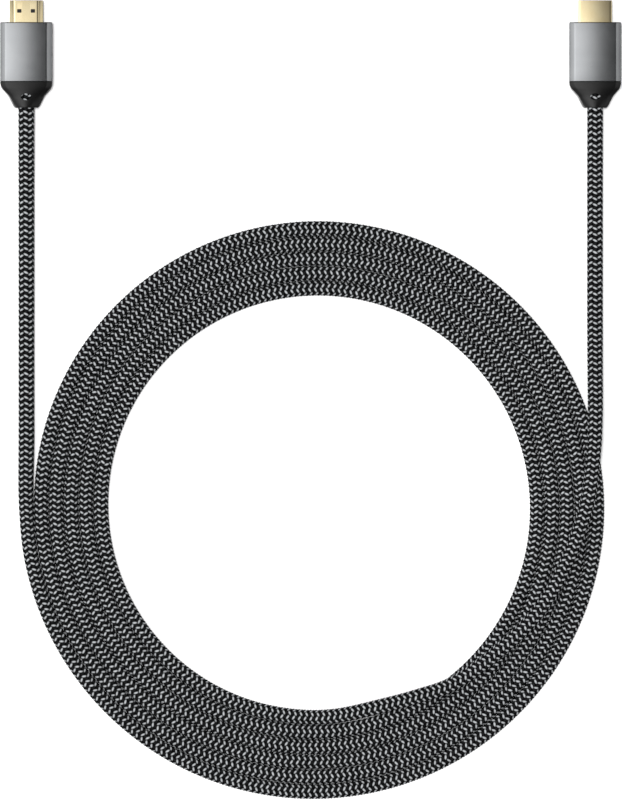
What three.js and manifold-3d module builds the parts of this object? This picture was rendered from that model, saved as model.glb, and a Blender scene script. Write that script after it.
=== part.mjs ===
// A braided HDMI cable, wound for storage into a flat spiral, with a gold-plated plug at each end.
// Millimetres, +Z up. The origin is the middle of the footprint, on the surface that the cable lies on.
// +Y is the direction in which both plugs point. Plug A is on the left, plug B on the right.

import * as THREE from 'three';
import { mergeVertices } from 'three/addons/utils/BufferGeometryUtils.js';
import Module from 'manifold-3d';

const wasm = await Module();
wasm.setup();

// The layout as it lies.
const plug_spacing = 235.1;
const overall_length = 330.1;

// The cable and its coil.
const cable_diameter = 6.1;
const cable_sides = 12;
const cable_step = 15;
const turn_pitch = 6.15;
const full_turns = 5;
const coil_start_radius = 119.45;
const inner_strand_turns = [0, 0.03, 0.06, 0.09, 0.12, 0.15, 0.18, 0.21];
const coil_segments = 64;
const cord_gap = 0.3;
const floor_clearance = 0.05;

// The cable's way between the coil and the plugs. Each lift goes with the point in the same place of
// the list before it: 0 where the cable lies on the surface, and 1 at the top of its climb.
const drop_distances = [0, 9.6, 21.6, 35.6, 47.6];
const drop_lifts = [1, 1, 0.8, 0.2, 0];
const lead_a_straight = [55, 20, -15];
const crossing_curve = [
  [-3.1, -131.2],
  [10.5, -130.7],
  [28.7, -126.7],
  [44, -122.6],
  [58.7, -117.4],
  [78, -103.6],
  [93.5, -88.2],
  [106, -66.5],
  [114.1, -42.9],
  [116.9, -21.4],
];
const crossing_curve_lifts = [0.1, 0.4, 0.8, 1, 1, 1, 1, 1, 1, 1];
const lead_b_straight = [-6, 9, 24, 38, 60];
const lead_b_straight_lifts = [0.93, 0.57, 0.17, 0, 0];

// The metal shell that goes into the socket. Its narrow side faces +Z in the plug's own frame.
const shell_width = 13.9;
const shell_height = 4.45;
const shell_narrow_width = 9.9;
const shell_step_height = 0.5;
const shell_wall = 0.35;
const shell_exposed = 9.1;
const shell_buried = 6;
const shell_corner = 0.4;
const window_width = 1.8;
const window_length = 1.5;
const window_spacing = 5.6;
const window_setback = 4.4;

// The contact carrier inside the shell, and its two rows of contacts.
const carrier_recess = 0.7;
const slot_width = 10.9;
const slot_height = 1.7;
const slot_depth = 7.6;
const contact_pitch = 1;
const contact_width = 0.45;
const contact_thickness = 0.25;
const contact_length = 6.4;
const contact_recess = 0.6;
const contact_nose = 0.5;
const contact_tip = 0.08;
const contacts_wide_row = 10;
const contacts_narrow_row = 9;

// The aluminium housing sleeve.
const housing_width = 21.5;
const housing_thickness = 11;
const housing_length = 24.4;
const housing_wall = 1.2;
const housing_face_width = 17.1;
const housing_facet_drop = 1.3;
const housing_crown = 0.6;
const housing_front_chamfer = 0.4;
const crown_steps = 8;
const side_steps = 4;

// The moulded strain relief: a core inside the sleeve and a boot that tapers to a round collar.
// Each step of the taper is [share of the boot's length, share of the way from the sleeve's size to
// the collar's, roundness from 0 at the sleeve to 1 at the collar].
const boot_length = 10.8;
const collar_diameter = 9.8;
const boot_taper = [
  [0, 0, 0],
  [0.1, 0.01, 0.04],
  [0.24, 0.09, 0.12],
  [0.39, 0.31, 0.26],
  [0.56, 0.57, 0.45],
  [0.73, 0.73, 0.68],
  [0.9, 0.89, 0.92],
  [0.97, 0.97, 1],
  [1, 1, 1],
];
const bore_depth = 7.5;
const bore_sides = 24;
const peep_width = 4.3;
const peep_length = 2.8;
const peep_distance = 6.3;

// Clearance between the pieces of a plug, and the margin by which a cutter passes a face.
const fit_clearance = 0.1;
const cut_margin = 1;

// Places worked out from the sizes above.
const cable_radius = cable_diameter / 2;
const plug_x = plug_spacing / 2;
const plug_axis_z = housing_thickness / 2;
const housing_front_y = overall_length / 2 - shell_exposed;
const boot_front = -housing_length - fit_clearance;
const boot_end = boot_front - boot_length;
const cable_end_y = housing_front_y + boot_end + bore_depth - cord_gap;
const cable_rest_z = cable_radius + floor_clearance;
const cable_crossing_z = cable_rest_z + cable_diameter + cord_gap;
const coil_x = coil_start_radius - plug_x;
const coil_y = coil_start_radius + turn_pitch / 4 - overall_length / 2;

// Colours of the finished surfaces.
const finish = {
  gold: { color: '#d9b871', roughness: 0.25, metalness: 1 },
  plastic: { color: '#141518', roughness: 0.5, metalness: 0 },
  contact: { color: '#c9a04f', roughness: 0.3, metalness: 1 },
  aluminium: { color: '#9a9ca0', roughness: 0.4, metalness: 0.9 },
  braid: { color: '#45464a', roughness: 0.7, metalness: 0 },
};

function namedMesh(name, geometry, look) {
  const mesh = new THREE.Mesh(geometry, new THREE.MeshStandardMaterial(look));
  mesh.name = name;
  return mesh;
}

// A closed geometry as a solid that can be cut and joined.
function toSolid(geometry) {
  const bare = geometry.clone();
  bare.deleteAttribute('normal');
  bare.deleteAttribute('uv');
  const merged = mergeVertices(bare);
  const vertProperties = new Float32Array(merged.attributes.position.array);
  const triVerts = new Uint32Array(merged.index.array);
  return new wasm.Manifold(new wasm.Mesh({ numProp: 3, vertProperties, triVerts }));
}

function toGeometry(solid) {
  const mesh = solid.getMesh();
  const geometry = new THREE.BufferGeometry();
  geometry.setAttribute('position', new THREE.BufferAttribute(mesh.vertProperties, 3));
  geometry.setIndex(new THREE.BufferAttribute(mesh.triVerts, 1));
  geometry.computeVertexNormals();
  return geometry;
}

// Moves every edge of an anticlockwise outline inwards by a distance, or outwards if it is negative.
function inset(outline, distance) {
  const count = outline.length;
  return outline.map((corner, i) => {
    const before = corner.clone().sub(outline[(i + count - 1) % count]).normalize();
    const after = outline[(i + 1) % count].clone().sub(corner).normalize();
    const inward = new THREE.Vector2(-before.y - after.y, before.x + after.x);
    return corner.clone().addScaledVector(inward, (2 * distance) / inward.lengthSq());
  });
}

// An outline in the plug's cross-section, carried along Y from front to rear.
function prism(outline, front, rear) {
  const settings = { depth: front - rear, bevelEnabled: false };
  const geometry = new THREE.ExtrudeGeometry(new THREE.Shape(outline), settings);
  geometry.rotateX(Math.PI / 2);
  geometry.translate(0, front, 0);
  return geometry;
}

// A closed skin through cross-sections with as many corners each, listed from front to rear.
function loft(sections) {
  const count = sections[0].outline.length;
  const corners = sections.flatMap(({ y, outline }) => outline.map((p) => new THREE.Vector3(p.x, y, p.y)));
  const faces = [];
  for (let ring = 0; ring < sections.length - 1; ring += 1) {
    for (let i = 0; i < count; i += 1) {
      const a = ring * count + i;
      const b = ring * count + ((i + 1) % count);
      faces.push(a, b, b + count, a, b + count, a + count);
    }
  }
  const last = (sections.length - 1) * count;
  for (const [a, b, c] of THREE.ShapeUtils.triangulateShape(sections[0].outline, [])) {
    faces.push(a, c, b);
  }
  for (const [a, b, c] of THREE.ShapeUtils.triangulateShape(sections.at(-1).outline, [])) {
    faces.push(last + a, last + b, last + c);
  }
  const geometry = new THREE.BufferGeometry().setFromPoints(corners);
  geometry.setIndex(faces);
  geometry.computeVertexNormals();
  return geometry;
}

// The shell's outer section: full width on the wide side, stepped in to the narrow side.
function shellOutline() {
  const half_height = shell_height / 2;
  const right = [
    [shell_width / 2 - shell_corner, -half_height],
    [shell_width / 2, shell_corner - half_height],
    [shell_width / 2, shell_step_height],
    [shell_narrow_width / 2, half_height],
  ];
  const left = right.map(([x, z]) => [-x, z]).reverse();
  return [...right, ...left].map(([x, z]) => new THREE.Vector2(x, z));
}

// The sleeve's section: crowned faces above and below, flat sides, and a facet along each corner.
function housingOutline() {
  const half_face = housing_face_width / 2;
  const face_edge = housing_thickness / 2 - housing_crown;
  const side_edge = face_edge - housing_facet_drop;
  const outline = [];
  for (const side of [1, -1]) {
    for (let i = 0; i <= side_steps; i += 1) {
      const z = side_edge * ((2 * i) / side_steps - 1);
      outline.push(new THREE.Vector2((side * housing_width) / 2, side * z));
    }
    for (let i = 0; i <= crown_steps; i += 1) {
      const across = 1 - (2 * i) / crown_steps;
      const z = face_edge + housing_crown * (1 - across * across);
      outline.push(new THREE.Vector2(side * half_face * across, side * z));
    }
  }
  return outline;
}

// The boot's section: the sleeve's section, narrowed towards the collar and rounded.
function bootOutline(narrowing, roundness) {
  const sleeve = new THREE.Vector2(housing_width / 2, housing_thickness / 2);
  const collar = new THREE.Vector2(collar_diameter / 2, collar_diameter / 2);
  const size = sleeve.clone().lerp(collar, narrowing);
  return housingOutline().map((corner) => {
    const square = corner.clone().divide(sleeve);
    const round = square.clone().normalize();
    return square.lerp(round, roundness).multiply(size);
  });
}

function plugShell() {
  const front = shell_exposed;
  const rear = -shell_buried;
  const outline = shellOutline();
  let shell = toSolid(prism(outline, front, rear));
  const hollow = prism(inset(outline, shell_wall), front + cut_margin, rear - cut_margin);
  shell = shell.subtract(toSolid(hollow));
  for (const side of [-1, 1]) {
    const cutter = new THREE.BoxGeometry(window_width, window_length, shell_height);
    cutter.translate((side * window_spacing) / 2, front - window_setback, shell_height / 2);
    shell = shell.subtract(toSolid(cutter));
  }
  return toGeometry(shell);
}

function contactCarrier() {
  const front = shell_exposed - carrier_recess;
  const outline = inset(shellOutline(), shell_wall + fit_clearance);
  const slot = new THREE.BoxGeometry(slot_width, slot_depth + cut_margin, slot_height);
  slot.translate(0, front + (cut_margin - slot_depth) / 2, 0);
  return toGeometry(toSolid(prism(outline, front, -shell_buried)).subtract(toSolid(slot)));
}

// One contact, a flat bar with a sloped nose, on the slot's upper (1) or lower (-1) face.
function contact(row_side) {
  const profile = new THREE.Shape([
    new THREE.Vector2(0, 0),
    new THREE.Vector2(contact_length, 0),
    new THREE.Vector2(contact_length, contact_tip),
    new THREE.Vector2(contact_length - contact_nose, contact_thickness),
    new THREE.Vector2(0, contact_thickness),
  ]);
  const geometry = new THREE.ExtrudeGeometry(profile, { depth: contact_width, bevelEnabled: false });
  geometry.translate(-contact_length, 0, -contact_width / 2);
  const along = new THREE.Vector3(0, 1, 0);
  const into_slot = new THREE.Vector3(0, 0, -row_side);
  const across = along.clone().cross(into_slot);
  geometry.applyMatrix4(new THREE.Matrix4().makeBasis(along, into_slot, across));
  return geometry;
}

function contactRow(count, row_side, first_number, end) {
  const front = shell_exposed - carrier_recess - contact_recess;
  const face = slot_height / 2 - fit_clearance;
  return Array.from({ length: count }, (_, i) => {
    const number = String(first_number + 2 * i).padStart(2, '0');
    const bar = namedMesh(`contact_${end}_${number}`, contact(row_side), finish.contact);
    bar.position.set((i - (count - 1) / 2) * contact_pitch, front, row_side * face);
    return bar;
  });
}

function housingSleeve() {
  const outline = housingOutline();
  const skin = loft([
    { y: 0, outline: inset(outline, housing_front_chamfer) },
    { y: -housing_front_chamfer, outline },
    { y: -housing_length, outline },
  ]);
  const cavity = prism(inset(outline, housing_wall), -housing_wall, -housing_length - cut_margin);
  const mouth = prism(inset(shellOutline(), -fit_clearance), cut_margin, -housing_wall - cut_margin);
  return toGeometry(toSolid(skin).subtract(toSolid(cavity)).subtract(toSolid(mouth)));
}

function strainRelief() {
  const boot = loft(boot_taper.map(([along, narrowing, roundness]) => (
    { y: boot_front - along * boot_length, outline: bootOutline(narrowing, roundness) }
  )));
  const core_outline = inset(housingOutline(), housing_wall + fit_clearance);
  const core = prism(core_outline, -housing_wall - fit_clearance, boot_front - fit_clearance);
  const pocket = prism(inset(shellOutline(), -fit_clearance), cut_margin, -shell_buried - fit_clearance);
  const bore_radius = cable_radius + cord_gap;
  const bore_length = bore_depth + cut_margin;
  const bore = new THREE.CylinderGeometry(bore_radius, bore_radius, bore_length, bore_sides);
  bore.translate(0, boot_end + bore_depth - bore_length / 2, 0);
  const peep_outline = new THREE.Shape().absellipse(0, 0, peep_width / 2, peep_length / 2);
  const peep_settings = { depth: 2 * housing_thickness, bevelEnabled: false, curveSegments: bore_sides };
  const peep = new THREE.ExtrudeGeometry(peep_outline, peep_settings);
  peep.translate(0, boot_front - peep_distance, -housing_thickness);
  const body = toSolid(boot).add(toSolid(core));
  return toGeometry(body.subtract(toSolid(pocket)).subtract(toSolid(bore)).subtract(toSolid(peep)));
}

function plug(end) {
  const group = new THREE.Group();
  group.add(
    namedMesh(`plug_shell_${end}`, plugShell(), finish.gold),
    namedMesh(`contact_carrier_${end}`, contactCarrier(), finish.plastic),
    ...contactRow(contacts_wide_row, -1, 1, end),
    ...contactRow(contacts_narrow_row, 1, 2, end),
    namedMesh(`housing_sleeve_${end}`, housingSleeve(), finish.aluminium),
    namedMesh(`strain_relief_${end}`, strainRelief(), finish.plastic),
  );
  return group;
}

// A point on the coil's spiral. Turns are counted from the far left, where lead A joins it.
function spiralPoint(turns) {
  const angle = Math.PI + turns * 2 * Math.PI;
  const radius = coil_start_radius - turn_pitch * turns;
  const x = coil_x + radius * Math.cos(angle);
  return new THREE.Vector3(x, coil_y + radius * Math.sin(angle), cable_rest_z);
}

// The cable's height between the surface, at lift 0, and its top at another place, at lift 1.
function lifted(lift, top_z) {
  return THREE.MathUtils.lerp(cable_rest_z, top_z, lift);
}

// The stretch from inside a plug's boot down to the surface.
function plugDrop(x) {
  return drop_distances.map((back, i) => {
    return new THREE.Vector3(x, cable_end_y - back, lifted(drop_lifts[i], plug_axis_z));
  });
}

// Lead A runs from plug A straight down to the outside of the coil.
function leadARoute() {
  const places = [...lead_a_straight, coil_y];
  return [...plugDrop(-plug_x), ...places.map((y) => new THREE.Vector3(-plug_x, y, cable_rest_z))];
}

// Lead B starts as the innermost strand, a fifth of a turn long, climbs, crosses all the turns and
// comes down on the outside of the coil, on its way to plug B.
function leadBRoute() {
  const strand = inner_strand_turns.map((turns) => spiralPoint(full_turns + turns));
  const crossing = crossing_curve.map(([x, y], i) => {
    return new THREE.Vector3(x, y, lifted(crossing_curve_lifts[i], cable_crossing_z));
  });
  const straight = lead_b_straight.map((y, i) => {
    return new THREE.Vector3(plug_x, y, lifted(lead_b_straight_lifts[i], cable_crossing_z));
  });
  return [...strand, ...crossing, ...straight, ...plugDrop(plug_x).reverse()];
}

function tube(route, radius) {
  const path = new THREE.CatmullRomCurve3(route);
  const corners = Array.from({ length: cable_sides }, (_, i) => {
    const angle = (i * 2 * Math.PI) / cable_sides;
    return new THREE.Vector2(radius * Math.cos(angle), radius * Math.sin(angle));
  });
  const steps = Math.ceil(path.getLength() / cable_step);
  const settings = { steps, extrudePath: path, bevelEnabled: false };
  return new THREE.ExtrudeGeometry(new THREE.Shape(corners), settings);
}

// The room that a lead needs: its tube with the gap all round, and past the end that meets the coil.
function leadRoom(route, coil_end) {
  const end = route.at(coil_end);
  const inner = route.at(coil_end === 0 ? 1 : -2);
  const past = end.clone().add(end.clone().sub(inner).setLength(cord_gap));
  const longer = coil_end === 0 ? [past, ...route] : [...route, past];
  return toSolid(tube(longer, cable_radius + cord_gap));
}

// The coil's full turns as one turned ring, with a ridge above and below for each turn. The ring
// sits a quarter of the pitch below the spiral's centre, where it fits the turns best.
function coilRing() {
  const half_band = (turn_pitch * full_turns) / 2;
  const middle_radius = coil_start_radius - half_band;
  // Each turn's section is an octagon, and its corners are shares of the octagon's width.
  const flat = Math.tan(Math.PI / 8) / 2;
  const ridge_corners = [[-0.5, flat], [-flat, 0.5], [flat, 0.5]];
  const profile = [];
  for (const way of [1, -1]) {
    for (let turn = 0; turn < full_turns; turn += 1) {
      const ridge_radius = middle_radius + way * (turn_pitch * (turn + 0.5) - half_band);
      for (const [across, up] of ridge_corners) {
        const z = cable_radius - way * up * cable_diameter;
        profile.push(new THREE.Vector2(ridge_radius + way * across * turn_pitch, z));
      }
    }
    const edge_z = cable_radius - way * flat * cable_diameter;
    profile.push(new THREE.Vector2(middle_radius + way * half_band, edge_z));
  }
  profile.push(profile[0].clone());
  const ring = new THREE.LatheGeometry(profile, coil_segments);
  ring.rotateX(Math.PI / 2);
  ring.translate(coil_x, coil_y - turn_pitch / 4, 0);
  return ring;
}

function coil() {
  const room_a = leadRoom(leadARoute(), -1);
  const room_b = leadRoom(leadBRoute(), 0);
  return toGeometry(toSolid(coilRing()).subtract(room_a).subtract(room_b));
}

const plug_a = plug('a');
plug_a.position.set(-plug_x, housing_front_y, plug_axis_z);

// Plug B lies with its wide side up.
const plug_b = plug('b');
plug_b.position.set(plug_x, housing_front_y, plug_axis_z);
plug_b.rotation.y = Math.PI;

const cable = new THREE.Group();
cable.add(
  plug_a,
  plug_b,
  namedMesh('cable_lead_a', tube(leadARoute(), cable_radius), finish.braid),
  namedMesh('cable_coil', coil(), finish.braid),
  namedMesh('cable_lead_b', tube(leadBRoute(), cable_radius), finish.braid),
);
export default cable;
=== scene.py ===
"""Looks of a braided HDMI cable that lies in a flat spiral, with a metal plug at each end.

Everything is in metres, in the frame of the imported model: +Z up, +Y the way both plugs point.
"""

import math

import bmesh
import bpy
import numpy as np
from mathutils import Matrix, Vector


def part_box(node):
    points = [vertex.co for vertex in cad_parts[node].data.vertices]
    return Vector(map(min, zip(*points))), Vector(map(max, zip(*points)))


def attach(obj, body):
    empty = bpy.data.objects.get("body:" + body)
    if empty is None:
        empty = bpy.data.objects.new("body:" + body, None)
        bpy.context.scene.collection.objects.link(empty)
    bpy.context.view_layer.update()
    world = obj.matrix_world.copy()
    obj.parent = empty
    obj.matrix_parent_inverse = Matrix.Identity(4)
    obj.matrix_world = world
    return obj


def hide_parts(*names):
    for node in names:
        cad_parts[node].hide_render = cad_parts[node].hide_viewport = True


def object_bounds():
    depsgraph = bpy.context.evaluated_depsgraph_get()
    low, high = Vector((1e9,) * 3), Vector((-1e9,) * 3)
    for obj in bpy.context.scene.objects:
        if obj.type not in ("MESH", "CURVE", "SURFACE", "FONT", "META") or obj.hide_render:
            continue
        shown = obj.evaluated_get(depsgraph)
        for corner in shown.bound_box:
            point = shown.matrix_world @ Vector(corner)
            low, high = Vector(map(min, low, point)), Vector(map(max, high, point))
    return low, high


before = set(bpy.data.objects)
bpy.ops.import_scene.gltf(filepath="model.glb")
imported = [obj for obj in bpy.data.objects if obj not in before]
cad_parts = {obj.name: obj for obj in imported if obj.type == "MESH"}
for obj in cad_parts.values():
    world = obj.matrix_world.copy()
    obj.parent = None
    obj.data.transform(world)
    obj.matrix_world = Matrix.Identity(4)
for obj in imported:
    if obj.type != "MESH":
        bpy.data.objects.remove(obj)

BODY = "root"
ENDS = ("a", "b")
cad_low, cad_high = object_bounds()

# The camera: the height of the picture at the object, the lens and the sensor in millimetres, the
# point that it looks down on, and how far it sees.
FRAME_HEIGHT = 0.3306
LENS = 600
SENSOR = 36
AIM = (0.00015, -0.0001)
CAMERA_REACH = 20

# The cable and its coil.
CABLE_DIAMETER = 0.0061
CORD_GAP = 0.0003
REST_HEIGHT = 0.00318
CROSSING_HEIGHT = REST_HEIGHT + CABLE_DIAMETER + CORD_GAP
COIL_START_RADIUS = 0.11945
TURN_PITCH = 0.00615
SPIRAL_TURNS = 5.21
POINTS_PER_TURN = 36

# The rest of the route. A lift goes from 0, on the surface, to 1, at the stretch's greatest height.
# A plug's drop is pairs of a distance back from the cable's end and a lift. Lead A's places are
# along Y. The crossing is x, y and a lift, and the last stretch, below plug B, is y and a lift.
PLUG_DROP = ((0, 1), (0.0096, 1), (0.0216, 0.8), (0.0356, 0.2), (0.0476, 0))
LEAD_A_PLACES = (0.055, 0.02, -0.015)
CROSSING = (
    (-0.0031, -0.1312, 0.1),
    (0.0105, -0.1307, 0.4),
    (0.0287, -0.1267, 0.8),
    (0.044, -0.1226, 1),
    (0.0587, -0.1174, 1),
    (0.078, -0.1036, 1),
    (0.0935, -0.0882, 1),
    (0.106, -0.0665, 1),
    (0.1141, -0.0429, 1),
    (0.1169, -0.0214, 1),
)
LEAD_B_PLACES = ((-0.006, 0.93), (0.009, 0.57), (0.024, 0.17), (0.038, 0), (0.06, 0))

# The braid: yarns each way round the cable, and the advance along it of one full wrap. The tops,
# the shoulders and the valleys of the yarns are distances from the cable's axis, and the angles
# are in radians. BAKE_ROWS is how many rows a piece's bake map has.
YARNS_EACH_WAY = 10
WRAP_ADVANCE = 0.0123
YARN_TOP = 0.00318
YARN_SHOULDER = 0.00312
YARN_VALLEY = 0.00297
JACKET_RADIUS = 0.00266
JACKET_SIDES = 12
JACKET_STEP = 0.002
BRAID_PIECES = 4
BRAID_START_ANGLE = 0.08
BRAID_TWIST = 2.64
BAKE_ROWS = 8

# On the free leads the sleeve is wider than in the coil, by this share. Each pair of distances from
# the cable's end is where it begins to narrow and where it is as narrow as in the coil.
LEAD_SWELL = 0.07
LEAD_A_NARROWS = (0.148, 0.183)
LEAD_B_NARROWS = (0.098, 0.15)

# The plugs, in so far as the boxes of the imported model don't show their sizes.
FACE_WIDTH = 0.0171
FACET_DROP = 0.0013
CROWN = 0.0006
HOUSING_EDGE = 0.00035
HOUSING_FRONT_EDGE = 0.00045
HOUSING_REAR_EDGE = 0.00015
WALL = 0.0012
FIT = 0.0001
SHELL_WALL = 0.00035
SHELL_CORNER = 0.0004
SHELL_EDGE = 0.0005
SHELL_NARROW_WIDTH = 0.0099
SHELL_STEP_HEIGHT = 0.0005
SHELL_BURIED = 0.006
NARROW_CROWN = 0.00003
WIDE_CROWN = 0.00018
WINDOW_SIZE = (0.0018, 0.0015)
WINDOW_EDGE = 0.0003
WINDOW_SPACING = 0.0056
WINDOW_SETBACK = 0.0044
COLLAR_DIAMETER = 0.0098
BOOT_EDGE = 0.00025
BORE_DEPTH = 0.0075
PEEP_SIZE = (0.0043, 0.0028)
PEEP_DISTANCE = 0.0063

# The boot's taper, as shares from the sleeve to the collar: distance, narrowing and roundness.
TAPER_STEP = 0.03
BOOT_TAPER = (
    (0, 0, 0),
    (0.1, 0.01, 0.04),
    (0.24, 0.09, 0.12),
    (0.39, 0.31, 0.26),
    (0.56, 0.57, 0.45),
    (0.73, 0.73, 0.68),
    (0.9, 0.89, 0.92),
    (0.97, 0.97, 1),
    (1, 1, 1),
)

# Colours: each surface varies between a pair.
# For the yarns, the first colour of each pair is painted shade at the ends and edges of the floats,
# and the second is the yarn's own colour on their tops.
GREY_YARN = ((0.003, 0.003, 0.003), (0.425, 0.44, 0.455))
BLACK_YARN = ((0.0005, 0.0005, 0.0005), (0.0115, 0.012, 0.0125))
JACKET = ((0.006, 0.006, 0.007), (0.014, 0.014, 0.015))
GOLD = ((0.96, 0.8, 0.48), (0.98, 0.84, 0.53))
CONTACT = ((0.8, 0.6, 0.28), (0.9, 0.72, 0.4))
ALUMINIUM = ((0.35, 0.36, 0.37), (0.39, 0.4, 0.41))
PLASTIC = ((0.003, 0.003, 0.003), (0.005, 0.005, 0.005))
FLOOR = ((0.89, 0.89, 0.89), (0.91, 0.91, 0.91))

# Light. SKY is pairs of a place, from 0 at the left to 1 at the right, and a brightness: the metal
# mirrors it, so it looks pale on its left and dark on its right. SKY_STRENGTH is two pairs of a
# distance from the middle, along Y, and a strength, which fades between them. The sun's angle is in
# degrees, and FLOOR_HALF is half the floor's side.
SKY = (
    (0, 0.36),
    (0.008, 0.32),
    (0.022, 0.1),
    (0.06, 0.6),
    (0.275, 1),
    (0.35, 0.9),
    (0.455, 0.57),
    (0.483, 0.476),
    (0.51, 0.314),
    (0.538, 0.176),
    (0.565, 0.1),
    (0.635, 0.03),
    (0.8, 0.025),
    (0.93, 0.47),
    (0.972, 0.03),
    (0.99, 0.32),
    (1, 0.32),
)
SKY_STRENGTH = ((0.15, 2.2), (0.65, 0.4))
SUN_ENERGY = 3.1
SUN_ANGLE = 9
SUN_DIRECTION = (0.045, -0.02, -1)
FLOOR_HALF = 4


# Camera

def make_camera():
    """A long lens, straight down on the middle of the object, framed as in the photograph."""
    data = bpy.data.cameras.new("camera")
    data.lens = LENS
    data.sensor_width = SENSOR
    data.clip_end = CAMERA_REACH
    camera = bpy.data.objects.new("camera", data)
    bpy.context.scene.collection.objects.link(camera)
    middle_height = (cad_low.z + cad_high.z) / 2
    camera.location = (*AIM, middle_height + FRAME_HEIGHT * LENS / SENSOR)
    bpy.context.scene.camera = camera


# Curves and meshes

def curve_through(points, step):
    """Evenly spaced points on a smooth curve through the given ones."""
    points = np.array(points, float)
    before = 2 * points[0] - points[1]
    after = 2 * points[-1] - points[-2]
    held = np.vstack([before, points, after])
    knots = np.concatenate([[0], np.cumsum(np.linalg.norm(np.diff(held, axis=0), axis=1) ** 0.5)])
    dense = []
    for i in range(1, len(held) - 2):
        t0, t1, t2, t3 = knots[i - 1:i + 3]
        p0, p1, p2, p3 = held[i - 1:i + 3]
        count = max(2, int(np.linalg.norm(p2 - p1) / step) + 1)
        t = np.linspace(t1, t2, count, endpoint=False)[:, None]
        a1 = (t1 - t) / (t1 - t0) * p0 + (t - t0) / (t1 - t0) * p1
        a2 = (t2 - t) / (t2 - t1) * p1 + (t - t1) / (t2 - t1) * p2
        a3 = (t3 - t) / (t3 - t2) * p2 + (t - t2) / (t3 - t2) * p3
        b1 = (t2 - t) / (t2 - t0) * a1 + (t - t0) / (t2 - t0) * a2
        b2 = (t3 - t) / (t3 - t1) * a2 + (t - t1) / (t3 - t1) * a3
        dense.append((t2 - t) / (t2 - t1) * b1 + (t - t1) / (t2 - t1) * b2)
    line = np.vstack([*dense, points[-1:]])
    along = np.concatenate([[0], np.cumsum(np.linalg.norm(np.diff(line, axis=0), axis=1))])
    even = np.linspace(0, along[-1], int(round(along[-1] / step)) + 1)
    return np.stack([np.interp(even, along, line[:, axis]) for axis in range(3)], axis=1)


def frames_along(line):
    """A sideways and an upward unit vector at each point of a nearly level line."""
    tangent = np.gradient(line, axis=0)
    tangent /= np.linalg.norm(tangent, axis=1, keepdims=True)
    side = np.cross(tangent, (0, 0, 1))
    side /= np.linalg.norm(side, axis=1, keepdims=True)
    return side, np.cross(side, tangent)


def sleeve_width(line):
    """How wide the cable is at each point of its line, as a share of its width in the coil."""
    along = np.concatenate([[0], np.cumsum(np.linalg.norm(np.diff(line, axis=0), axis=1))])
    on_lead_a = np.interp(along, LEAD_A_NARROWS, (1, 0))
    on_lead_b = np.interp(along[-1] - along, LEAD_B_NARROWS, (1, 0))
    return 1 + LEAD_SWELL * (on_lead_a + on_lead_b)


def new_mesh(name, points, faces, materials, face_materials=None, uv_maps=None):
    """An object whose faces all have as many corners. uv_maps has an array of pairs by name."""
    points = np.asarray(points, np.float32)
    faces = np.asarray(faces, np.int32)
    mesh = bpy.data.meshes.new(name)
    mesh.vertices.add(len(points))
    mesh.vertices.foreach_set("co", points.ravel())
    mesh.loops.add(faces.size)
    mesh.loops.foreach_set("vertex_index", faces.ravel())
    mesh.polygons.add(len(faces))
    loop_starts = np.arange(0, faces.size, faces.shape[1], dtype=np.int32)
    mesh.polygons.foreach_set("loop_start", loop_starts)
    for material in materials:
        mesh.materials.append(material)
    if face_materials is not None:
        mesh.polygons.foreach_set("material_index", np.asarray(face_materials, np.int32))
    for uv_name, pairs in (uv_maps or {}).items():
        layer = mesh.uv_layers.new(name=uv_name)
        layer.data.foreach_set("uv", np.asarray(pairs, np.float32).ravel())
    mesh.polygons.foreach_set("use_smooth", np.ones(len(faces), bool))
    mesh.update(calc_edges=True)
    mesh.validate()
    return link(name, mesh)


def link(name, mesh):
    """An object in the scene that shows a mesh."""
    made = bpy.data.objects.new(name, mesh)
    bpy.context.scene.collection.objects.link(made)
    return made


def tube_around(line, radius, sides):
    """The points and faces of a round tube, open at both ends, with a radius for each point."""
    side, up = frames_along(line)
    angle = np.arange(sides) * 2 * math.pi / sides
    ring = np.cos(angle)[None, :, None] * side[:, None] + np.sin(angle)[None, :, None] * up[:, None]
    points = (line[:, None] + radius[:, None, None] * ring).reshape(-1, 3)
    i, j = np.meshgrid(np.arange(len(line) - 1), np.arange(sides), indexing="ij")
    here = i * sides + j
    beside = i * sides + (j + 1) % sides
    faces = np.stack([here, here + sides, beside + sides, beside], axis=-1).reshape(-1, 4)
    return points, faces


# The route of the cable

def lifted(lift, top):
    """The height of the cable's axis at a lift from 0 to 1."""
    return REST_HEIGHT + lift * (top - REST_HEIGHT)


def plug_drop(x, end_y, axis_height):
    """The stretch from inside a plug's boot down to the surface."""
    return [(x, end_y - back, lifted(lift, axis_height)) for back, lift in PLUG_DROP]


def cable_route():
    """Lead A, the spiral, the crossing over all the turns, and lead B."""
    low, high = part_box("housing_sleeve_a")
    plug_x = -(low.x + high.x) / 2
    axis_height = (low.z + high.z) / 2
    end_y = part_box("cable_lead_a")[1].y
    coil_x = COIL_START_RADIUS - plug_x
    coil_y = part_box("cable_coil")[0].y + COIL_START_RADIUS + TURN_PITCH / 4
    route = plug_drop(-plug_x, end_y, axis_height)
    route += [(-plug_x, y, REST_HEIGHT) for y in LEAD_A_PLACES]
    for turns in np.linspace(0, SPIRAL_TURNS, int(SPIRAL_TURNS * POINTS_PER_TURN) + 1):
        angle = math.pi * (1 + 2 * turns)
        radius = COIL_START_RADIUS - TURN_PITCH * turns
        x = coil_x + radius * math.cos(angle)
        y = coil_y + radius * math.sin(angle)
        route.append((x, y, REST_HEIGHT))
    route += [(x, y, lifted(lift, CROSSING_HEIGHT)) for x, y, lift in CROSSING]
    route += [(plug_x, y, lifted(lift, CROSSING_HEIGHT)) for y, lift in LEAD_B_PLACES]
    return route + plug_drop(plug_x, end_y, axis_height)[::-1]


# Materials

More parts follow.
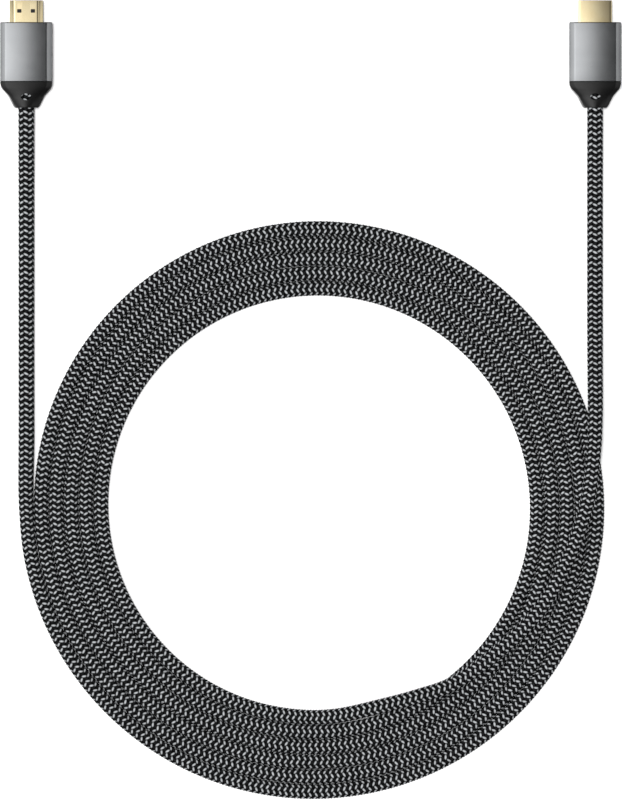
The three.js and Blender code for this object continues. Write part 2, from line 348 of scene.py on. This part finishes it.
def new_material(name, colour, roughness, metallic=0.0):
    """A Principled material, with its node tree, its shader node and a texture coordinate node."""
    material = bpy.data.materials.new(name)
    material.use_nodes = True
    tree = material.node_tree
    shader = tree.nodes["Principled BSDF"]
    shader.inputs["Base Color"].default_value = (*colour, 1)
    shader.inputs["Roughness"].default_value = roughness
    shader.inputs["Metallic"].default_value = metallic
    place = tree.nodes.new("ShaderNodeTexCoord")
    return material, tree, shader, place


def noise(tree, vector, scale, detail=3.0, stretch=None):
    """The value socket of a noise texture, in a space stretched along its axes."""
    if stretch:
        mapping = tree.nodes.new("ShaderNodeMapping")
        mapping.inputs["Scale"].default_value = stretch
        tree.links.new(vector, mapping.inputs["Vector"])
        vector = mapping.outputs["Vector"]
    texture = tree.nodes.new("ShaderNodeTexNoise")
    texture.inputs["Scale"].default_value = scale
    texture.inputs["Detail"].default_value = detail
    tree.links.new(vector, texture.inputs["Vector"])
    return texture.outputs["Fac"]


def ramp(tree, value, low, high, start, end):
    """A colour between two, as a value goes from start to end."""
    node = tree.nodes.new("ShaderNodeValToRGB")
    node.color_ramp.elements[0].position = start
    node.color_ramp.elements[0].color = (*low, 1)
    node.color_ramp.elements[1].position = end
    node.color_ramp.elements[1].color = (*high, 1)
    tree.links.new(value, node.inputs["Fac"])
    return node.outputs["Color"]


def between(tree, value, low, high):
    """A number between two, as a value goes from 0 to 1."""
    node = tree.nodes.new("ShaderNodeMapRange")
    node.inputs["To Min"].default_value = low
    node.inputs["To Max"].default_value = high
    tree.links.new(value, node.inputs["Value"])
    return node.outputs["Result"]


def vary_colour(tree, shader, value, colours, start=0.3, end=0.7):
    """Colours a surface between a pair of colours, as a value goes from start to end."""
    tree.links.new(ramp(tree, value, *colours, start, end), shader.inputs["Base Color"])


def vary_roughness(tree, shader, value, low, high):
    """Roughness between two numbers, as a value goes from 0 to 1."""
    tree.links.new(between(tree, value, low, high), shader.inputs["Roughness"])


def bump(tree, shader, value, depth, strength=1.0):
    """Relief of a depth in metres."""
    node = tree.nodes.new("ShaderNodeBump")
    node.inputs["Distance"].default_value = depth
    node.inputs["Strength"].default_value = strength
    tree.links.new(value, node.inputs["Height"])
    tree.links.new(node.outputs["Normal"], shader.inputs["Normal"])


def math_node(tree, operation, *values):
    """The result of a sum on sockets and numbers."""
    node = tree.nodes.new("ShaderNodeMath")
    node.operation = operation
    for socket, value in zip(node.inputs, values):
        if isinstance(value, (int, float)):
            socket.default_value = value
        else:
            tree.links.new(value, socket)
    return node.outputs[0]


def yarn_material(name, colours, roughness, specular):
    """Twisted yarn, with painted shade: each float is palest on top, and its colour is darkened
    towards its ends, where it dives under the next, and towards its edges.
    """
    material, tree, shader, place = new_material(name, colours[1], roughness)
    shader.inputs["Specular IOR Level"].default_value = specular
    yarn = tree.nodes.new("ShaderNodeUVMap")
    yarn.uv_map = "yarn"
    split = tree.nodes.new("ShaderNodeSeparateXYZ")
    tree.links.new(yarn.outputs["UV"], split.inputs["Vector"])
    along = math_node(tree, "PINGPONG", split.outputs["X"], 2)
    across = math_node(tree, "PINGPONG", split.outputs["Y"], 0.5)
    # Painted shade: darker towards each float's ends and edges, where the yarn dips.
    end_shade = math_node(tree, "POWER", along, 2.4)
    edge_shade = math_node(tree, "POWER", math_node(tree, "MULTIPLY", across, 2), 2)
    shade = math_node(tree, "ADD", end_shade, edge_shade)
    streaks = noise(tree, yarn.outputs["UV"], 3.0, 2.0, (0.6, 5, 1))
    patches = noise(tree, place.outputs["Object"], 420)
    half_patches = math_node(tree, "MULTIPLY", patches, 0.5)
    uneven = math_node(tree, "MULTIPLY_ADD", streaks, 0.5, half_patches)
    # The yarn's random unevenness, less the painted shade at the floats' ends and edges.
    pale = math_node(tree, "SUBTRACT", math_node(tree, "ADD", uneven, 0.45), shade)
    vary_colour(tree, shader, pale, colours, 0, 1)
    vary_roughness(tree, shader, streaks, roughness - 0.1, roughness + 0.1)
    bump(tree, shader, streaks, 0.00006, 0.6)
    return material


def make_materials():
    """The materials of all the pieces, by name."""
    made = {}
    made["yarn_grey"] = yarn_material("yarn_grey", GREY_YARN, 0.42, 0.12)
    made["yarn_black"] = yarn_material("yarn_black", BLACK_YARN, 0.5, 0)

    jacket, tree, shader, place = new_material("jacket", (0.01, 0.01, 0.011), 0.6)
    grain = noise(tree, place.outputs["Object"], 900)
    vary_colour(tree, shader, grain, JACKET)
    bump(tree, shader, grain, 0.00003)
    made["jacket"] = jacket

    gold, tree, shader, place = new_material("gold_plating", (0.97, 0.82, 0.5), 0.1, 1.0)
    tint = noise(tree, place.outputs["Object"], 180, 2.0)
    vary_colour(tree, shader, tint, GOLD)
    scuffs = noise(tree, place.outputs["Object"], 300, 5.0, (1, 0.08, 1))
    vary_roughness(tree, shader, scuffs, 0.07, 0.16)
    bump(tree, shader, scuffs, 0.00001, 0.35)
    made["gold"] = gold

    contact, tree, shader, place = new_material("contact_plating", (0.85, 0.66, 0.34), 0.25, 1.0)
    tint = noise(tree, place.outputs["Object"], 500, 2.0)
    vary_colour(tree, shader, tint, CONTACT)
    vary_roughness(tree, shader, tint, 0.2, 0.32)
    made["contact"] = contact

    metal, tree, shader, place = new_material("anodised_aluminium", (0.37, 0.38, 0.39), 0.25, 1.0)
    blasting = noise(tree, place.outputs["Object"], 5200, 2.0)
    cloud = noise(tree, place.outputs["Object"], 90, 2.0)
    vary_colour(tree, shader, cloud, ALUMINIUM)
    vary_roughness(tree, shader, cloud, 0.22, 0.28)
    bump(tree, shader, blasting, 0.00001, 0.25)
    made["aluminium"] = metal

    plastic, tree, shader, place = new_material("moulded_plastic", (0.004, 0.004, 0.004), 0.3)
    texture = noise(tree, place.outputs["Object"], 3800, 2.0)
    cloud = noise(tree, place.outputs["Object"], 120, 2.0)
    vary_colour(tree, shader, cloud, PLASTIC)
    vary_roughness(tree, shader, cloud, 0.26, 0.34)
    bump(tree, shader, texture, 0.000012, 0.4)
    made["plastic"] = plastic
    return made


# The cable

def make_jacket(line, width, materials):
    """The dark jacket under the braid, with flat ends."""
    points, faces = tube_around(line, JACKET_RADIUS * width, JACKET_SIDES)
    jacket = new_mesh("cable_jacket", points, faces, [materials["jacket"]])
    shape = bmesh.new()
    shape.from_mesh(jacket.data)
    bmesh.ops.holes_fill(shape, edges=[edge for edge in shape.edges if edge.is_boundary])
    shape.to_mesh(jacket.data)
    shape.free()
    return jacket


def braid_heights(a, b):
    """The sleeve's distance from the cable's axis, at half steps along the two yarn directions.

    A yarn goes over two crossings and then under two, so each float is a ridge two cells long.
    """
    centre = (a % 2 == 0) & (b % 2 == 0)
    cells = a // 2 + b // 2
    on_right_float = (a % 2 == 1) & (b % 2 == 0) & (cells % 4 == 0)
    on_left_float = (a % 2 == 0) & (b % 2 == 1) & (cells % 4 == 2)
    height = np.full(a.shape, YARN_VALLEY)
    height[centre] = YARN_SHOULDER
    height[on_right_float | on_left_float] = YARN_TOP
    return height


def make_braid(line, width, materials):
    """The woven sleeve, in a few pieces end to end.

    The surface is a lattice of rings half a yarn step apart, each turned by half a column from the
    last. Its "yarn" map runs along and across each float, and "OFBake" spreads the piece over a
    square, in rows.
    """
    columns = 2 * YARNS_EACH_WAY
    side, up = frames_along(line)
    ring_number = np.arange(len(line))
    around = (ring_number[:, None] % 2) + 2 * np.arange(columns)[None, :]
    a = (around + ring_number[:, None]) // 2
    b = (around - ring_number[:, None]) // 2
    twist = BRAID_START_ANGLE + BRAID_TWIST * ring_number / len(line)
    angle = around * math.pi / columns + twist[:, None]
    height = (braid_heights(a, b) * width[:, None])[..., None]
    out = np.cos(angle)[..., None] * side[:, None] + np.sin(angle)[..., None] * up[:, None]
    points = line[:, None] + height * out

    pieces = []
    bounds = np.linspace(0, len(line) - 1, BRAID_PIECES + 1).astype(int)
    for number, (first, last) in enumerate(zip(bounds[:-1], bounds[1:]), start=1):
        rows = np.arange(max(first, 1), last)
        low = rows[0] - 1
        k = (rows[:, None] % 2) + 2 * np.arange(columns)[None, :]
        m = np.broadcast_to(rows[:, None], k.shape)
        corner_k = np.stack([k, k + 1, k + 2, k + 1], axis=-1).reshape(-1, 4)
        corner_m = np.stack([m, m + 1, m, m - 1], axis=-1).reshape(-1, 4)
        faces = (corner_m - low) * columns + (corner_k // 2) % columns
        corner_a = (corner_k + corner_m) // 2
        corner_b = (corner_k - corner_m) // 2
        cell_a = (corner_a[:, 0] + 1) // 2
        cell_b = (corner_b[:, 0] + 1) // 2
        right_on_top = (cell_a + cell_b) % 4 < 2
        grey = np.where(right_on_top, cell_b % 2, cell_a % 2)
        along = np.where(right_on_top[:, None], corner_a, corner_b) / 2
        across = np.where(right_on_top[:, None], corner_b, corner_a) / 2
        yarn_number = np.where(right_on_top, cell_b, cell_a)[:, None]
        float_middle = np.where(right_on_top, 0.5, 2.5)[:, None]
        yarn = np.stack([along + yarn_number - float_middle, across], axis=-1)
        row_length = math.ceil(len(rows) / BAKE_ROWS)
        bake_row = (corner_m[:, 2] - rows[0]) // row_length
        bake_u = (corner_m - rows[0] - bake_row[:, None] * row_length + 2) / (row_length + 4)
        bake_v = (bake_row[:, None] + (corner_k + 1) / (2 * columns + 4)) / BAKE_ROWS
        piece = new_mesh(
            f"braid_{number}",
            points[low:rows[-1] + 2].reshape(-1, 3),
            faces,
            [materials["yarn_black"], materials["yarn_grey"]],
            grey,
            {"yarn": yarn, "OFBake": np.stack([bake_u, bake_v], axis=-1)},
        )
        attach(piece, BODY)
        pieces.append(piece)
    return pieces


# Plug outlines, in the cross-section of a plug whose narrow side faces up

def inset(outline, distance):
    """Every edge of an anticlockwise outline moved inwards, or outwards by a negative distance."""
    before = outline - np.roll(outline, 1, axis=0)
    after = np.roll(outline, -1, axis=0) - outline
    before /= np.linalg.norm(before, axis=1, keepdims=True)
    after /= np.linalg.norm(after, axis=1, keepdims=True)
    inward = np.stack([-before[:, 1] - after[:, 1], before[:, 0] + after[:, 0]], axis=1)
    return outline + inward * (2 * distance / (inward ** 2).sum(axis=1, keepdims=True))


def rounded(outline, radius, steps=4, sharp=8):
    """An outline whose corners of more than some degrees are each a short curve."""
    points = []
    for i, corner in enumerate(outline):
        before = outline[i - 1] - corner
        after = outline[(i + 1) % len(outline)] - corner
        lengths = np.linalg.norm(before), np.linalg.norm(after)
        turn = math.degrees(math.acos(np.clip(-before @ after / (lengths[0] * lengths[1]), -1, 1)))
        if turn < sharp:
            points.append(corner)
            continue
        start = corner + before / lengths[0] * min(radius, lengths[0] / 2.2)
        end = corner + after / lengths[1] * min(radius, lengths[1] / 2.2)
        for t in np.linspace(0, 1, steps + 1):
            points.append((1 - t) ** 2 * start + 2 * t * (1 - t) * corner + t ** 2 * end)
    return np.array(points)


def housing_outline(width, thickness, crown_steps=28, side_steps=6):
    """Crowned faces above and below, flat sides, and a facet along each corner."""
    face_edge = thickness / 2 - CROWN
    side_edge = face_edge - FACET_DROP
    outline = []
    for side in (1, -1):
        for z in np.linspace(-side_edge, side_edge, side_steps + 1):
            outline.append((side * width / 2, side * z))
        for across in np.linspace(1, -1, crown_steps + 1):
            z = face_edge + CROWN * (1 - across ** 2)
            outline.append((side * across * FACE_WIDTH / 2, side * z))
    return np.array(outline)


def shell_outline(width, height, crown_steps=14):
    """Full width on the wide side, stepped in to the narrow side, both faces a little crowned."""
    side_low = WIDE_CROWN + SHELL_CORNER - height / 2
    outline = [(width / 2, side_low), (width / 2, SHELL_STEP_HEIGHT)]
    for across in np.linspace(1, -1, crown_steps + 1):
        outline.append((across * SHELL_NARROW_WIDTH / 2, height / 2 - NARROW_CROWN * across ** 2))
    outline += [(-width / 2, SHELL_STEP_HEIGHT), (-width / 2, side_low)]
    for across in np.linspace(-1, 1, crown_steps + 1):
        x = across * (width / 2 - SHELL_CORNER)
        outline.append((x, WIDE_CROWN * across ** 2 - height / 2))
    return np.array(outline)


# Plug solids

def at_height(outline, y):
    """An outline of the cross-section as a ring of points at one place along the plug."""
    return np.column_stack([outline[:, 0], np.full(len(outline), y), outline[:, 1]])


def loft(name, rings, closed=False):
    """A skin through rings of as many points each. Closed joins the last ring to the first."""
    count = len(rings[0])
    total = len(rings)
    faces = []
    for ring in range(total if closed else total - 1):
        here, there = ring * count, ((ring + 1) % total) * count
        for i in range(count):
            j = (i + 1) % count
            faces.append((here + i, here + j, there + j, there + i))
    if not closed:
        faces.append(tuple(reversed(range(count))))
        faces.append(tuple(range((total - 1) * count, total * count)))
    mesh = bpy.data.meshes.new(name)
    mesh.from_pydata(np.vstack(rings).tolist(), [], faces)
    mesh.validate()
    outward(mesh)
    return link(name, mesh)


def cut(solid, *cutters):
    """Takes the cutters' shapes out of a solid, and removes them."""
    for cutter in cutters:
        modifier = solid.modifiers.new("cut", "BOOLEAN")
        modifier.operation = "DIFFERENCE"
        modifier.solver = "EXACT"
        modifier.object = cutter
    graph = bpy.context.evaluated_depsgraph_get()
    mesh = bpy.data.meshes.new_from_object(solid.evaluated_get(graph))
    solid.modifiers.clear()
    solid.data = mesh
    for cutter in cutters:
        bpy.data.objects.remove(cutter)
    return solid


def prism(outline, front, rear):
    """A cutter along the plug, with one section from front to rear."""
    return loft("cutter", [at_height(outline, front), at_height(outline, rear)])


def ellipse(width, length, sides=40):
    """An anticlockwise outline of a circle or an ellipse."""
    angle = np.arange(sides) * 2 * math.pi / sides
    return np.column_stack([np.cos(angle) * width / 2, np.sin(angle) * length / 2])


def upright_cutter(outline, x, y, top, bottom):
    """A cutter with one section from top to bottom, around a point seen from above."""
    levels = [np.full(len(outline), z) for z in (top, bottom)]
    return loft("cutter", [np.column_stack([outline[:, 0] + x, outline[:, 1] + y, level])
                           for level in levels])


def outward(mesh):
    """Turns all faces the same way, out of the solid."""
    shape = bmesh.new()
    shape.from_mesh(mesh)
    bmesh.ops.recalc_face_normals(shape, faces=shape.faces)
    shape.to_mesh(mesh)
    shape.free()


def shade(piece, degrees=28):
    """Smooth faces, with a crease at each edge sharper than the angle."""
    shape = bmesh.new()
    shape.from_mesh(piece.data)
    bmesh.ops.dissolve_degenerate(shape, dist=1e-7, edges=shape.edges)
    bmesh.ops.recalc_face_normals(shape, faces=shape.faces)
    for edge in shape.edges:
        edge.smooth = edge.calc_face_angle(math.pi) < math.radians(degrees)
    for face in shape.faces:
        face.smooth = True
    shape.to_mesh(piece.data)
    shape.free()


def settle(piece, name, end, material, slot, *nodes):
    """Puts a finished plug piece where its CAD node is, with its material."""
    low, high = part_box(f"housing_sleeve_{end}")
    origin = Vector(((low.x + high.x) / 2, high.y, (low.z + high.z) / 2))
    turned = -1 if end == "b" else 1
    for vertex in piece.data.vertices:
        x, y, z = vertex.co
        vertex.co = origin + Vector((turned * x, y, turned * z))
    piece.name = piece.data.name = name
    piece.data.materials.clear()
    piece.data.materials.append(material)
    shade(piece)
    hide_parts(*nodes)
    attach(piece, BODY)
    return piece


def quarter(radius, steps=5):
    """Pairs of (distance back, inset) round a quarter circle at a front edge."""
    angles = np.linspace(0, math.pi / 2, steps + 1)
    return [(radius * (1 - math.cos(t)), radius * (1 - math.sin(t))) for t in angles]


def make_sleeve(end, materials):
    """The aluminium sleeve: open at the rear, and a front wall with a hole for the shell."""
    low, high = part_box(f"housing_sleeve_{end}")
    width, length, thickness = high - low
    outline = rounded(housing_outline(width, thickness), HOUSING_EDGE)
    section = [(inwards, -back) for back, inwards in quarter(HOUSING_FRONT_EDGE)]
    section += [(0, -length * share) for share in (0.35, 0.7)]
    section += [(inwards, back - length) for back, inwards in quarter(HOUSING_REAR_EDGE, 3)[::-1]]
    skin = loft("sleeve", [at_height(inset(outline, inwards), y) for inwards, y in section])
    cavity = prism(inset(housing_outline(width, thickness), WALL), -WALL, -length - WALL)
    shell = shell_size(end)
    mouth = prism(inset(shell_outline(*shell), -FIT), WALL, -2 * WALL)
    sleeve = cut(skin, cavity, mouth)
    metal = materials["aluminium"]
    node = f"housing_sleeve_{end}"
    return settle(sleeve, f"housing_{end}", end, metal, "anodised_aluminium", node)


def shell_size(end):
    """The width and the height of a plug's shell."""
    low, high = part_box(f"plug_shell_{end}")
    return high.x - low.x, high.z - low.z


def make_boot(end, materials):
    """The strain relief: a boot that tapers to a round collar, with a bore and an oval window."""
    low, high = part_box(f"housing_sleeve_{end}")
    width, length, thickness = high - low
    relief_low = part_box(f"strain_relief_{end}")[0]
    boot_front = -length - FIT
    boot_length = (low.y - FIT) - relief_low.y
    outline = rounded(housing_outline(width, thickness), HOUSING_EDGE)
    sleeve_half = np.array([width / 2, thickness / 2])
    square = outline / sleeve_half
    circle = square / np.linalg.norm(square, axis=1, keepdims=True)
    taper = curve_through(BOOT_TAPER, TAPER_STEP)
    lip = quarter(BOOT_EDGE, 3)
    rings = []
    for along, narrowing, roundness in taper:
        half = sleeve_half + (COLLAR_DIAMETER / 2 - sleeve_half) * narrowing
        section = (square + (circle - square) * roundness) * half
        rings.append((along * boot_length, section))
    first, last = rings[0][1], rings[-1][1]
    front = [at_height(inset(first, inwards), boot_front - back) for back, inwards in lip]
    middle = [at_height(section, boot_front - distance) for distance, section in rings
              if BOOT_EDGE < distance < boot_length - BOOT_EDGE]
    boot_end = boot_front - boot_length
    rear = [at_height(inset(last, inwards), boot_end + back) for back, inwards in lip[::-1]]
    boot = loft("boot", front + middle + rear)
    bore_diameter = 2 * (YARN_TOP * (1 + LEAD_SWELL) + FIT / 2)
    bore = prism(ellipse(bore_diameter, bore_diameter), boot_end + BORE_DEPTH, boot_end - WALL)
    peep_y = boot_front - PEEP_DISTANCE
    peep = upright_cutter(ellipse(*PEEP_SIZE), 0, peep_y, thickness, -thickness)
    boot = cut(boot, bore, peep)
    name = f"strain_relief_boot_{end}"
    return settle(boot, name, end, materials["plastic"], "moulded_plastic", f"strain_relief_{end}")


def make_shell(end, materials):
    """The plated shell, a tube with a rounded lip and two latch windows on its narrow side.

    Each ring of the lip is inset first and rounded then, so that no corner folds over.
    """
    width, height = shell_size(end)
    low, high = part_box(f"plug_shell_{end}")
    exposed = high.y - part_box(f"housing_sleeve_{end}")[1].y
    lip = quarter(SHELL_WALL / 2, 3)
    section = [(SHELL_WALL - inwards, exposed - back) for back, inwards in lip[::-1]]
    section += [(inwards, exposed - back) for back, inwards in lip[1:]]
    section += [(0, -SHELL_BURIED), (SHELL_WALL, -SHELL_BURIED)]
    plain = shell_outline(width, height)
    rings = []
    for inwards, y in section:
        rings.append(at_height(rounded(inset(plain, inwards), SHELL_EDGE - inwards / 2), y))
    shell = loft("shell", rings, closed=True)
    half_x, half_y = WINDOW_SIZE[0] / 2, WINDOW_SIZE[1] / 2
    corners = [(half_x, -half_y), (half_x, half_y), (-half_x, half_y), (-half_x, -half_y)]
    window = rounded(np.array(corners), WINDOW_EDGE)
    window_y = exposed - WINDOW_SETBACK
    top, bottom = height * 3 / 4, height / 4
    windows = [upright_cutter(window, side * WINDOW_SPACING / 2, window_y, top, bottom)
               for side in (-1, 1)]
    shell = cut(shell, *windows)
    name = f"shell_{end}"
    return settle(shell, name, end, materials["gold"], "gold_plating", f"plug_shell_{end}")


def dress_node(name, material):
    """Gives a CAD node that the scene shows as it is its material."""
    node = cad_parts[name]
    node.data.materials.clear()
    node.data.materials.append(material)


# The surroundings

def make_surroundings():
    """A white floor, a sky that is bright on the left and dark on the right, and a sun.

    Nothing mirrors the floor or the sun, so the edges of the metal and the plastic stay dark.
    """
    half = FLOOR_HALF
    corners = [(-half, -half, 0), (half, -half, 0), (half, half, 0), (-half, half, 0)]
    material, tree, shader, place = new_material("floor", (0.9, 0.9, 0.9), 0.9)
    soft = noise(tree, place.outputs["Object"], 3, 1.0)
    vary_colour(tree, shader, soft, FLOOR)
    floor = new_mesh("floor", corners, [(0, 1, 2, 3)], [material])
    floor.visible_glossy = False

    world = bpy.data.worlds.new("studio")
    bpy.context.scene.world = world
    world.use_nodes = True
    tree = world.node_tree
    background = tree.nodes["Background"]
    place = tree.nodes.new("ShaderNodeTexCoord")
    split = tree.nodes.new("ShaderNodeSeparateXYZ")
    tree.links.new(place.outputs["Generated"], split.inputs["Vector"])
    from_left = tree.nodes.new("ShaderNodeMapRange")
    from_left.inputs["From Min"].default_value = -1
    tree.links.new(split.outputs["X"], from_left.inputs["Value"])
    sky = tree.nodes.new("ShaderNodeValToRGB")
    stops = sky.color_ramp.elements
    while len(stops) < len(SKY):
        stops.new(0.5)
    for stop, (position, level) in zip(stops, SKY):
        stop.position = position
        stop.color = (level, level, level, 1)
    tree.links.new(from_left.outputs["Result"], sky.inputs["Fac"])
    tree.links.new(sky.outputs["Color"], background.inputs["Color"])
    fading = tree.nodes.new("ShaderNodeMapRange")
    (near, full), (far, faint) = SKY_STRENGTH
    fading.inputs["From Min"].default_value = far
    fading.inputs["From Max"].default_value = near
    fading.inputs["To Min"].default_value = faint
    fading.inputs["To Max"].default_value = full
    tree.links.new(math_node(tree, "ABSOLUTE", split.outputs["Y"]), fading.inputs["Value"])
    tree.links.new(fading.outputs["Result"], background.inputs["Strength"])

    sun = bpy.data.lights.new("sun", "SUN")
    sun.energy = SUN_ENERGY
    sun.angle = math.radians(SUN_ANGLE)
    key = bpy.data.objects.new("sun", sun)
    key.rotation_euler = Vector(SUN_DIRECTION).to_track_quat("-Z", "Y").to_euler()
    key.visible_glossy = False
    bpy.context.scene.collection.objects.link(key)

    bpy.context.scene.view_settings.view_transform = "Standard"


# Assembly

make_camera()
materials = make_materials()
ring_step = WRAP_ADVANCE / (4 * YARNS_EACH_WAY)
line = curve_through(cable_route(), ring_step)
width = sleeve_width(line)
line[:, 2] = np.maximum(line[:, 2], REST_HEIGHT * width)
jacket_every = round(JACKET_STEP / ring_step)
jacket_line = np.vstack([line[:-1:jacket_every], line[-1:]])
jacket_width = np.append(width[:-1:jacket_every], width[-1])
jacket = make_jacket(jacket_line, jacket_width, materials)
braid = make_braid(line, width, materials)

for end in ENDS:
    parts = [make_shell(end, materials), make_sleeve(end, materials), make_boot(end, materials)]
    dress_node(f"contact_carrier_{end}", materials["plastic"])
    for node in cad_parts:
        if node.startswith(f"contact_{end}_"):
            dress_node(node, materials["contact"])

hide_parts("cable_lead_a", "cable_coil", "cable_lead_b")
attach(jacket, BODY)
make_surroundings()
